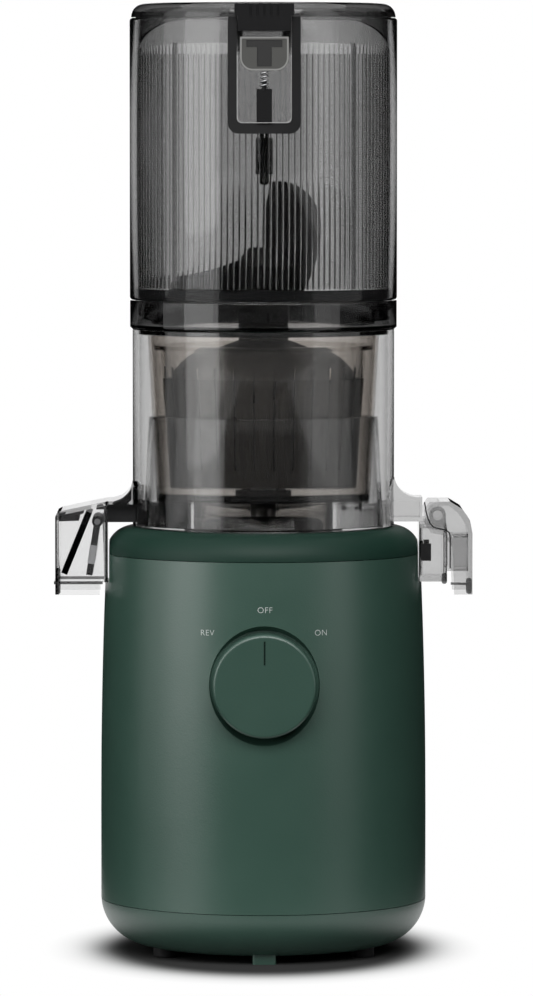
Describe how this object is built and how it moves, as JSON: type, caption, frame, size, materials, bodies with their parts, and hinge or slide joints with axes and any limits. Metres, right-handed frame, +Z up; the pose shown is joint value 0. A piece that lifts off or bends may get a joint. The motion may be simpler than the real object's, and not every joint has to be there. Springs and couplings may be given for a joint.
{
  "type": "cold press juicer",
  "caption": "Upright cold press juicer: dark barrel base with a front control knob, clear chamber with a pressing screw, two spouts, and a tall self-feeding hopper with a hinged lid.",
  "frame": {"origin": "on the table under the axis of the barrel", "axes": "+Z up along the barrel's axis, -Y towards the user and the control knob, +X towards the juice spout"},
  "size_m": [0.1998, 0.17, 0.455],
  "materials": {
    "shell": "fine matte moulded, dark grey green",
    "dark_plastic": "moulded, near black",
    "rubber": "soft black silicone",
    "steel": "turned and ground",
    "laminate": "stacked electrical steel",
    "copper": "enamelled copper wire",
    "gear_plastic": "oiled acetal",
    "board": "circuit board",
    "clear": "clear smoke tinted plastic",
    "frosted": "translucent light grey plastic",
    "screw_plastic": "grey tough plastic"
  },
  "bodies": {
    "base": {"base_pan": "shell", "body_shell": "shell", "top_cover": "shell", "chamber_seat": "dark_plastic", "shaft_seal": "rubber", "feet": "rubber", "front_foot": "shell", "base_screws": "steel", "cord_gland": "rubber", "switch_body": "dark_plastic", "switch_screws": "steel", "motor_stator": "laminate", "stator_windings": "copper", "motor_lower_bell": "dark_plastic", "motor_upper_bell": "dark_plastic", "motor_bearings": "steel", "motor_mounts": "rubber", "motor_screws": "steel", "gearbox_case": "dark_plastic", "gearbox_cover": "dark_plastic", "gearbox_screws": "steel", "idler_axle": "steel", "output_bearings": "steel", "control_board": "board"},
    "knob": {"control_knob": "shell", "switch_shaft": "steel"},
    "rotor": {"motor_rotor": "laminate", "motor_shaft": "steel", "cooling_fan": "dark_plastic"},
    "idler": {"idler_gear": "gear_plastic"},
    "output": {"output_gear": "gear_plastic", "drive_shaft": "steel"},
    "chamber": {"chamber_bowl": "clear", "bowl_seal": "rubber", "strainer": "screw_plastic", "juice_spout": "frosted", "spout_packing": "rubber", "pulp_spout": "frosted", "pulp_chute": "rubber", "pulp_deflector": "dark_plastic"},
    "screw": {"screw": "screw_plastic", "drive_bush": "steel", "cutting_wing": "screw_plastic"},
    "juice_cap": {"juice_cap": "frosted", "cap_pin": "frosted", "cap_seal": "rubber"},
    "pulp_flap": {"pulp_flap": "dark_plastic", "flap_pin": "steel"},
    "hopper": {"hopper": "clear", "hopper_floor": "dark_plastic", "window_frame": "rubber", "hinge_pin": "steel"},
    "lock_rod": {"lock_rod": "screw_plastic"},
    "lid": {"lid": "clear", "lid_tongue": "clear", "latch_keeper": "dark_plastic", "latch_spring": "steel", "latch_cap": "dark_plastic"},
    "latch_button": {"latch_button": "dark_plastic"}
  },
  "joints": [
    {"name": "knob_turn", "type": "hinge", "parent": "base", "child": "knob", "pos_m": [0, -0.08, 0.134], "axis": [0, 1, 0], "range_deg": [-45, 45]},
    {"name": "screw_spin", "type": "hinge", "parent": "chamber", "child": "screw", "pos_m": [0, 0, 0.25], "axis": [0, 0, 1], "continuous": true},
    {"name": "output_spin", "type": "hinge", "parent": "base", "child": "output", "pos_m": [0, 0, 0.15], "axis": [0, 0, 1], "continuous": true},
    {"name": "idler_spin", "type": "hinge", "parent": "base", "child": "idler", "pos_m": [0, 0.03, 0.1], "axis": [0, 0, 1], "continuous": true},
    {"name": "rotor_spin", "type": "hinge", "parent": "base", "child": "rotor", "pos_m": [0, 0, 0.05], "axis": [0, 0, 1], "continuous": true},
    {"name": "chamber_lift", "type": "slide", "parent": "base", "child": "chamber", "axis": [0, 0, 1], "range_m": [0, 0.045]},
    {"name": "hopper_twist", "type": "hinge", "parent": "chamber", "child": "hopper", "pos_m": [0, 0, 0.306], "axis": [0, 0, 1], "range_deg": [0, 30]},
    {"name": "lid_hinge", "type": "hinge", "parent": "hopper", "child": "lid", "pos_m": [0, 0.069, 0.446], "axis": [-1, 0, 0], "range_deg": [0, 105]},
    {"name": "rod_slide", "type": "slide", "parent": "hopper", "child": "lock_rod", "axis": [0, 0, 1], "range_m": [0, 0.0036]},
    {"name": "button_push", "type": "slide", "parent": "lid", "child": "latch_button", "axis": [0, 0, -1], "range_m": [0, 0.004], "stiffness_N_per_m": 300, "springref_m": -0.002, "deforming": ["latch_spring"]},
    {"name": "cap_hinge", "type": "hinge", "parent": "chamber", "child": "juice_cap", "pos_m": [0.0833, 0, 0.2105], "axis": [0, -1, 0], "range_deg": [0, 95]},
    {"name": "flap_hinge", "type": "hinge", "parent": "chamber", "child": "pulp_flap", "pos_m": [-0.0796, 0, 0.2075], "axis": [0, 1, 0], "range_deg": [0, 16], "stiffness_Nm_per_rad": 0.02, "springref_deg": -11.46}
  ],
  "couplings": [
    {"joint": "output_spin", "follows": "screw_spin", "ratio": 1},
    {"joint": "idler_spin", "follows": "screw_spin", "ratio": -4},
    {"joint": "rotor_spin", "follows": "screw_spin", "ratio": 16},
    {"joint": "rod_slide", "follows": "lid_hinge", "m_per_rad": 0.0019}
  ]
}
